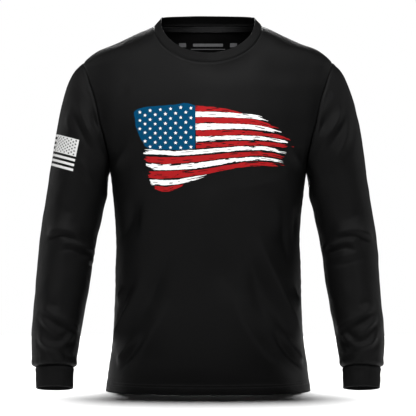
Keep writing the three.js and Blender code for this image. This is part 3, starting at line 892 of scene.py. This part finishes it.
# tape over the back neck seam, inside
tapeCut = {"drops": (1.6, 2.2, 3.2, 5, 7.5, 10, 12.5, 13.8, 14.4), "inset": 0.5, "thick": 0.7}
columns = np.where(np.abs(backGrid["base"][-1, :, 0]) < cut["neckSide"][0] * 0.93)[0]
rows = []
for drop in tapeCut["drops"]:
    line = []
    for j in columns:
        height = backGrid["toTop"][::-1, j]
        line.append([np.interp(drop, height, backGrid["inner"][::-1, j, k]) for k in range(3)])
    rows.append(line)
under = np.array(rows)[::-1]
normals = gridNormals(under)
tapeOuter = under - normals * tapeCut["inset"]
rounding = 0.15 * np.minimum(1, np.minimum(run(under, 0), run(under, 0)[-1:] - run(under, 0)) / 1.2)
tapeInner = tapeOuter - normals * (tapeCut["thick"] + rounding[..., None])
tape = clothPiece("neck_tape_cloth", tapeOuter, tapeInner, tapeCloth)
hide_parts("neck_tape")

stitchCut = {"pitch": 3.1, "long": 2.5, "wide": 0.6, "high": 0.42, "sunk": 0.02}

bpy.ops.mesh.primitive_ico_sphere_add(subdivisions=1, radius=0.5)
oneStitch = bpy.context.object
stitchPoints = np.array([v.co[:] for v in oneStitch.data.vertices])
stitchPoints *= (stitchCut["long"], stitchCut["wide"], stitchCut["high"])
stitchFaces = np.array([p.vertices[:] for p in oneStitch.data.polygons])
bpy.data.objects.remove(oneStitch)


# a row of stitches along each line, lying on the cloth
def stitchPiece(name, lines):
    points, faces = [], []
    for line, up in lines:
        walked = run(line, 0)
        count = int(walked[-1] / stitchCut["pitch"])
        at = (np.arange(count) + 0.5) * walked[-1] / count
        middle, normal = pick(line, walked, at), pick(up, walked, at)
        along = pick(line, walked, at + 0.4) - pick(line, walked, at - 0.4)
        along /= np.linalg.norm(along, axis=1, keepdims=True)
        side = np.cross(normal, along)
        side /= np.linalg.norm(side, axis=1, keepdims=True)
        normal = np.cross(along, side)
        middle = middle + normal * (stitchCut["sunk"] + stitchCut["high"] / 4)
        for m, a, b, n in zip(middle, along, side, normal):
            faces.append(stitchFaces + len(points) * len(stitchPoints))
            points.append(m + stitchPoints @ np.array([a, b, n]))
    piece = meshPiece(name, np.vstack(points), np.vstack(faces).tolist(), threadFinish)


# a line across a grid, where a measure has a value on each column
def acrossGrid(grid, normals, measure, value, columns):
    line, up = [], []
    for j in columns:
        order = np.argsort(measure[:, j])
        line.append([np.interp(value, measure[order, j], grid[order, j, k]) for k in range(3)])
        up.append([np.interp(value, measure[order, j], normals[order, j, k]) for k in range(3)])
    return np.array(line), np.array(up)


hemLines, neckLines = [], []
for grid in (frontGrid, backGrid):
    columns = np.arange(1, grid["outer"].shape[1] - 1)
    low = {key: grid[key][:60] for key in ("outer", "normals")}
    for height in panelCut["stitchLines"]:
        hemLines.append(acrossGrid(low["outer"], low["normals"], low["outer"][..., 2], height, columns))
    neckColumns = np.where(np.abs(grid["base"][-1, :, 0]) < cut["neckSide"][0] - 1)[0]
    neckGrid = (grid["outer"], grid["normals"], grid["toTop"])
    neckLines.append(acrossGrid(*neckGrid, panelCut["neckStitch"], neckColumns))
stitchPiece("hem_stitches", hemLines)
stitchPiece("neck_stitches", neckLines)
for side, grid in (("left", leftGrid), ("right", rightGrid)):
    columns = np.arange(grid["outer"].shape[1])
    line = acrossGrid(grid["outer"], grid["normals"], grid["toCuff"], sleeveCut["stitchLine"], columns)
    stitchPiece(f"cuff_stitches_{side}", [line])
tapeLines = []
tapeNormals = -gridNormals(tapeInner)
for row in (2, len(tapeCut["drops"]) - 3):
    tapeLines.append((tapeInner[row], tapeNormals[row]))
stitchPiece("tape_stitches", tapeLines)
print("stitches ready")

# the chest print is a torn, brushed flag of thin raised ink
printCut = {
    "proud": 0.28,
    "starProud": 0.46,
    "starSize": 3.95,
    "starWaist": 0.38,
    "step": (1.7, 0.62),
    "overhang": 1.12,  # how far past its half width a stroke's grid goes
    "strokeSwell": 0.3,
    "inset": 0.35,
    "rough": ((26, 0.3, 60), (6, 0.16, 80)),  # the unevenness of a stroke's edges: size, height, seed
    "startFingers": (0.5, 0.6),
    "tipFingers": (0.3, 0.8),
    "wet": 1.75,
    "dry": 2.6,
    "streaks": 1.35,
    "streakSize": (26, 2.5),
    "fingerWidth": 3.6,
}
frontTree = treeOf(frontGrid["outer"])


# the inked part of a grid of points: where ink is above zero
def inked(grid, ink):
    points, known, faces = [], {}, []

    def keep(key, point):
        if key not in known:
            known[key] = len(points)
            points.append(point)
        return known[key]

    def between(a, b):
        t = ink[a] / (ink[a] - ink[b])
        return keep((min(a, b), max(a, b)), grid[a] * (1 - t) + grid[b] * t)

    wet = ink > 0
    corners = wet[:-1, :-1].astype(int) + wet[1:, :-1] + wet[:-1, 1:] + wet[1:, 1:]
    for i, j in zip(*np.nonzero(corners)):
        ring = [(i, j), (i, j + 1), (i + 1, j + 1), (i + 1, j)]
        face = []
        for a, b in zip(ring, ring[1:] + ring[:1]):
            if wet[a]:
                face.append(keep(a, grid[a]))
            if wet[a] != wet[b]:
                face.append(between(a, b))
        if len(face) > 2:
            faces.append(face)
    return np.array(points), faces


# shapes drawn on (x, z), as they are seen from the front, laid on the cloth
def printPiece(name, shapes, tree, proud, material):
    points, faces, start = [], [], 0
    for flat, shape in shapes:
        places, normals = laidOn(tree, flat)
        normals *= np.where(normals[:, 1:2] > 0, -1, 1)
        points.append(places + normals * proud)
        a, b, c = [flat[shape[0][k]] for k in range(3)]
        turn = (b[0] - a[0]) * (c[1] - a[1]) - (b[1] - a[1]) * (c[0] - a[0])
        for face in shape:
            faces.append([start + k for k in (face if turn > 0 else face[::-1])])
        start += len(flat)
    meshPiece(name, np.vstack(points), faces, material)


# ink, points (x, z, width) down its middle, ragged length at its start and at its tip
brushStripes = [
    ("red", [(-25, 563, 11.5), (16, 561.5, 8.5), (40, 559, 4.5), (70, 553, 3)], 0, 14),
    ("white", [(-25, 552, 10.6), (22, 551, 10), (62, 549, 9), (96, 546, 7.5), (124, 538, 4)], 0, 30),
    ("red", [(-25, 540, 12.4), (22, 540, 12.4), (66, 538, 12), (102, 534, 10), (144, 522, 4)], 0, 36),
    ("white", [(-25, 526.5, 12.4), (30, 527.5, 11), (82, 526.5, 9.6), (116, 522.5, 7.5),
               (147, 515, 3.4)], 0, 26),
    ("red", [(-24, 513.5, 12.2), (54, 515, 11), (114, 511.5, 7.5), (146, 505.5, 6), (177, 497, 4)], 0, 42),
    ("white", [(-24, 501, 11.6), (18, 503.5, 9), (72, 505, 8), (120, 502, 6.6), (170, 493.5, 5)], 0, 30),
    ("red", [(-24, 488.5, 10.8), (20, 491, 9), (60, 493.5, 9.6), (120, 492, 8), (174, 484.5, 5)], 0, 32),
    ("white", [(-129, 477, 10), (-92, 475, 8.6), (-58, 474, 9), (8, 478.5, 8.6), (58, 482.5, 8),
               (96, 484, 7.6), (124, 481.5, 7), (165, 473.5, 6)], 6, 34),
    ("red", [(-128, 462, 12), (-84, 459, 13.8), (-26, 462, 12), (54, 470, 9.6), (112, 472.5, 7.6),
             (166, 462, 5.5)], 7, 34),
    ("white", [(-124, 447.5, 11.4), (-84, 445.5, 11.4), (-14, 450, 10.8), (54, 460, 7.8), (98, 463, 6.4),
               (124, 461, 6), (158, 453.5, 4)], 6, 28),
    ("red", [(-120, 431, 13.4), (-84, 430.5, 15), (-14, 436, 11.6), (54, 448, 9.2), (100, 452.5, 8.6),
             (160, 448.5, 6)], 6, 30),
    ("white", [(-117, 415.5, 10.8), (-72, 415.5, 10.4), (-38, 421, 8.5), (8, 432.5, 4)], 4, 34),
    ("red", [(-110, 405.5, 5), (-88, 402, 11), (-68, 404.5, 8.6), (-45, 411.5, 2)], 3, 10),
]
# dry scratches in a stripe: stripe, start and end (place along in mm, place across from -1 to 1), width
scratches = [
    (1, (96, 0.3), (128, 0.1), 0.8), (2, (92, 0.1), (132, -0.35), 0.9), (4, (100, 0.25), (138, 0.0), 0.9),
    (5, (24, -0.55), (64, -0.9), 1.5), (5, (20, -0.75), (40, -0.55), 1.3), (6, (10, 0.85), (36, 0.5), 1.0),
    (7, (206, -0.5), (226, 0.6), 0.8), (7, (0, 0.1), (12, 0.2), 0.8), (8, (6, -0.4), (18, 0.2), 0.8),
    (9, (44, 0.75), (70, 0.8), 2.0), (9, (236, 0.1), (262, -0.2), 0.8), (10, (50, -0.75), (66, 0.3), 1.3),
    (10, (66, 0.3), (92, 0.8), 1.2), (10, (8, -0.5), (22, 0.2), 0.9), (10, (196, 0.6), (224, 0.55), 2.6),
    (11, (72, 0.1), (116, -0.1), 1.5), (11, (92, -0.5), (122, -0.3), 1.0), (12, (30, -0.4), (44, 0.5), 1.0),
]


def brushed(number, middle, startRag, tipRag):
    middle = np.array(middle, float)
    line = curve(middle, 2)
    way = np.gradient(line[:, :2], axis=0)
    way /= np.linalg.norm(way, axis=1, keepdims=True)
    walked = run(line[:, :2], 0)
    along = np.arange(0, walked[-1] + 2, printCut["step"][0])
    at = pick(line, walked, along)
    side = pick(way[:, ::-1] * (-1, 1), walked, along)
    half = at[:, 2] / 2 + printCut["strokeSwell"]
    count = max(9, 2 * int(half.max() / printCut["step"][1]) + 1)
    across = np.linspace(-1, 1, count) * printCut["overhang"]
    grid = at[None, :, :2] + side[None] * (across[:, None] * half[None])[..., None]
    u, v = np.meshgrid(along, across)
    flat = np.stack([u, v * half[None], np.full_like(u, number * 50)], -1)
    edge = half[None] * (1 - np.abs(v)) - printCut["inset"]
    rim = flat * (1, 0, 1) + np.sign(v)[..., None] * (0, 0, 20)  # each side has waves of its own
    for size, high, seed in printCut["rough"]:
        edge += uneven(rim, size, high, number + seed)
    left = walked[-1] - u
    long, wide = printCut["streakSize"]
    streak = uneven(flat, 1, 1, number + 100, (1 / long, 1 / wide, 0.01))
    fingers = uneven(flat * (0, 1, 1), 1, 1, number + 120, (0, 1 / printCut["fingerWidth"], 0.01))
    ink = edge
    if startRag:
        least, more = printCut["startFingers"]
        ink = np.minimum(ink, (u - startRag * (least + more * fingers)) * 0.5)
    dry = 1 - ease(0, tipRag, left)
    least, more = printCut["tipFingers"]
    ink = np.minimum(ink, (left - tipRag * least * (more + fingers)) * 0.25)
    ink = np.minimum(ink, printCut["wet"] - dry * printCut["dry"] + streak * printCut["streaks"])
    for stripe, (u0, v0), (u1, v1), wide in scratches:
        if stripe == number:
            t = np.clip((u - u0) / (u1 - u0), 0, 1)
            off = np.abs(v - (v0 + (v1 - v0) * t)) * half[None]
            gap = wide / 2 * np.sin(math.pi * t) ** 0.5
            ink = np.minimum(ink, np.where((u > u0) & (u < u1), off - gap + 0.12 * streak, 1))
    return inked(grid, ink)


shapes = {"red": [], "white": []}
for number, (colour, middle, startRag, tipRag) in enumerate(brushStripes):
    shapes[colour].append(brushed(number, middle, startRag, tipRag))

canton = {
    "left": [(476, -116), (483, -119), (488, -127), (497, -131), (506, -137), (512, -139), (525, -144),
             (540, -146), (556, -148.5), (562, -146), (566, -140)],  # (z, x) up its left edge
    "top": [(-150, 552), (-146, 559), (-140, 562.5), (-128, 566), (-100, 568.5), (-64, 571.5), (-50, 574),
            (-38, 573), (-25, 569)],
    "bottom": [(-128, 485), (-118, 482), (-60, 479.8), (-25, 482)],
    "right": -25.6,
    "rough": ((18, 0.25, 141), (5, 0.12, 142)),
    "stars": {"aside": 8.6, "above": 8, "below": 4.6, "shift": 10.15, "pitch": 20.4, "clear": 4},
}


def readTable(table, at):
    return np.interp(at, *np.array(table, float).T)


x, z = np.meshgrid(np.arange(-152, -24, 1.3), np.arange(477, 577, 0.95))
ink = np.minimum.reduce([
    x - readTable(canton["left"], z),
    canton["right"] - x,
    readTable(canton["top"], x) - z,
    z - readTable(canton["bottom"], x),
])
spots = np.stack([x, z, 0 * x], -1)
ink += sum(uneven(spots, *numbers) for numbers in canton["rough"])
shapes["blue"] = [inked(np.stack([x, z], -1), ink)]


def star(x, z, size, turn):
    angle = math.pi / 2 + turn + np.arange(10) * math.pi / 5
    reach = size * np.where(np.arange(10) % 2, printCut["starWaist"], 1)
    rim = np.stack([x + reach * np.cos(angle), z + reach * np.sin(angle)], -1)
    return np.vstack([rim, [(x, z)]]), [[k, (k + 1) % 10, 10] for k in range(10)]


# nine rows, of six and five by turns
random = np.random.default_rng(7)
starField = canton["stars"]
stars = []
for row in range(9):
    for spot in range(6 - row % 2):
        x = canton["right"] - starField["aside"] - starField["shift"] * (row % 2) - starField["pitch"] * spot
        z = readTable(canton["top"], x) - starField["above"]
        z += (readTable(canton["bottom"], x) + starField["below"] - z) * row / 8
        if x > readTable(canton["left"], z) + starField["clear"]:
            size = printCut["starSize"] * random.uniform(0.94, 1.05)
            stars.append(star(x, z, size, random.uniform(-0.15, 0.15)))

printPiece("print_red", shapes["red"], frontTree, printCut["proud"], redInk)
printPiece("print_white", shapes["white"], frontTree, printCut["proud"], whiteInk)
printPiece("print_blue", shapes["blue"], frontTree, printCut["proud"], blueInk)
printPiece("print_stars", stars, frontTree, printCut["starProud"], whiteInk)
print("chest print ready")

# the small one-colour flag goes round the wearer's right upper arm
patchCut = {
    "corner": (-257, 0, 499),  # on the arm's middle line, at the patch's top
    "down": (-0.2, 0, -0.98),
    "outward": (-0.966, 0, 0.259),
    "radius": 54,
    "size": (112, 63),
    "canton": 58,
    "forward": 3,  # how far its front edge reaches round past the front of the arm
    "proud": 0.28,
    "starProud": 0.5,
    "starSize": 2.5,
}


def onSleeve(points, proud):
    corner, down, outward = [Vector(patchCut[key]) for key in ("corner", "down", "outward")]
    made = []
    for p, r in points:
        angle = (p - patchCut["forward"]) / patchCut["radius"]
        middle = corner + down * r
        way = outward * math.sin(angle) + Vector((0, -1, 0)) * math.cos(angle)
        spot, normal, _, _ = rightGrid["tree"].ray_cast(middle + way * 200, -way)
        if normal.dot(way) < 0:
            normal = -normal
        made.append(spot + normal * proud)
    return np.array(made)


def sleevePrint(name, shapes, proud, material):
    points, faces, start = [], [], 0
    for flat, shape in shapes:
        points.append(onSleeve(flat, proud))
        faces += [[start + k for k in face] for face in shape]
        start += len(flat)
    meshPiece(name, np.vstack(points), faces, material)


def block(p0, p1, r0, r1, step=2.2):
    p = np.linspace(p0, p1, max(2, round((p1 - p0) / step) + 1))
    r = np.linspace(r0, r1, max(2, round((r1 - r0) / step) + 1))
    grid = np.stack(np.meshgrid(p, r), -1)
    index = np.arange(len(p) * len(r)).reshape(len(r), len(p))
    return grid.reshape(-1, 2), quadsOf(index).tolist()


stripe = patchCut["size"][1] / 13
field = patchCut["canton"]
blocks = [block(0, field, 0, 7 * stripe)]
for number in range(0, 13, 2):
    start = field + 1 if number < 7 else 0
    blocks.append(block(start, patchCut["size"][0], number * stripe, (number + 1) * stripe))
smallStars = []
for row in range(9):
    for spot in range(6 - row % 2):
        p = field / 12 * (1 + 2 * spot + row % 2)
        smallStars.append(star(p, 7 * stripe * (row + 1) / 10, patchCut["starSize"], math.pi))
sleevePrint("sleeve_print_white", blocks, patchCut["proud"], sleeveInk)
sleevePrint("sleeve_print_stars", smallStars, patchCut["starProud"], jersey)  # left in the shirt's black
print("sleeve print ready")

# a pale size mark inside the back of the neck: plain bars that say nothing
markCut = {
    "bars": [(-30, 30, 687, 693), (-58, -44, 686, 694), (44, 58, 686, 694), (-34, 34, 681, 682.4)],
    "proud": 0.3,
}
bars = [block(*bar) for bar in markCut["bars"]]
printPiece("neck_size_mark", bars, treeOf(backGrid["inner"]), markCut["proud"], markInk)
print("mark ready")

# the floor lies just under the hem's rounded edge
bpy.ops.mesh.primitive_plane_add(size=3.4, location=(0, 0, -0.0006))
floor = bpy.context.object
floor.name = "studio_floor"
floorFinish, shader, wire = newMaterial("pale_floor")
shader.inputs["Base Color"].default_value = (0.86, 0.86, 0.86, 1)
shader.inputs["Roughness"].default_value = 0.95
shader.inputs["Specular IOR Level"].default_value = 0.05
floor.data.materials.append(floorFinish)
floor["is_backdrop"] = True

studio = {
    "topBox": {"at": (0, -1.05, 1.9), "aim": (0, 0, 0.5), "size": (1.3, 0.5), "power": 46},
    "frontBox": {"at": (0, -3.3, 0.8), "aim": (0, 0, 0.4), "size": (0.4, 0.5), "power": 15},
    "leftRim": {"at": (-1.8, 0.9, 0.9), "aim": (0, 0, 0.4), "size": (0.6, 1.8), "power": 12},
    "rightRim": {"at": (1.8, 0.9, 0.9), "aim": (0, 0, 0.4), "size": (0.6, 1.8), "power": 7.5},
    "backTop": {"at": (0, 1.3, 1.5), "aim": (0, 0, 0.4), "size": (0.8, 0.4), "power": 16},
    "backBox": {"at": (0, 2.6, 0.9), "aim": (0, 0, 0.4), "size": (0.8, 0.8), "power": 40},
    "floorBox": {"at": (0, 2.6, 8), "aim": (0, -0.1, 0), "size": (2.2, 2.2), "power": 1330},
}
# the floor has a light of its own, so that it stays white round a short soft shadow
shirtPieces = bpy.data.collections.new("shirt_pieces")
floorPieces = bpy.data.collections.new("floor_pieces")
floorPieces.objects.link(floor)
bodyPieces = bpy.data.collections.new("body_pieces")
bodyPieces.objects.link(front)
bodyPieces.objects.link(back)
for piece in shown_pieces():
    shirtPieces.objects.link(piece)
for name, lamp in studio.items():
    bpy.ops.object.light_add(type="AREA", location=lamp["at"])
    light = bpy.context.object
    light.name = name
    light.data.shape = "RECTANGLE"
    light.data.size, light.data.size_y = lamp["size"]
    light.data.energy = lamp["power"]
    light.visible_camera = False
    light.light_linking.receiver_collection = floorPieces if name == "floorBox" else shirtPieces
    if name == "floorBox":
        light.light_linking.blocker_collection = bodyPieces
    aim = Vector(lamp["aim"]) - Vector(lamp["at"])
    light.rotation_euler = aim.to_track_quat("-Z", "Y").to_euler()

# the white surround is only seen: the boxes do the lighting
world = bpy.data.worlds.new("studio")
bpy.context.scene.world = world
world.use_nodes = True
world.node_tree.nodes["Background"].inputs["Color"].default_value = (1, 1, 1, 1)
world.cycles_visibility.diffuse = False
world.cycles_visibility.glossy = False

bpy.ops.object.camera_add(location=(0, -eyeAway / 1000, eyeHeight / 1000), rotation=(math.pi / 2, 0, 0))
camera = bpy.context.object
camera.data.sensor_width = 36
camera.data.lens = eyeLens
bpy.context.scene.camera = camera
bpy.context.scene.view_settings.view_transform = "Standard"
print("studio ready")

low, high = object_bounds()
size = {"cad": [list(cadLow), list(cadHigh)], "visual": [list(low), list(high)]}
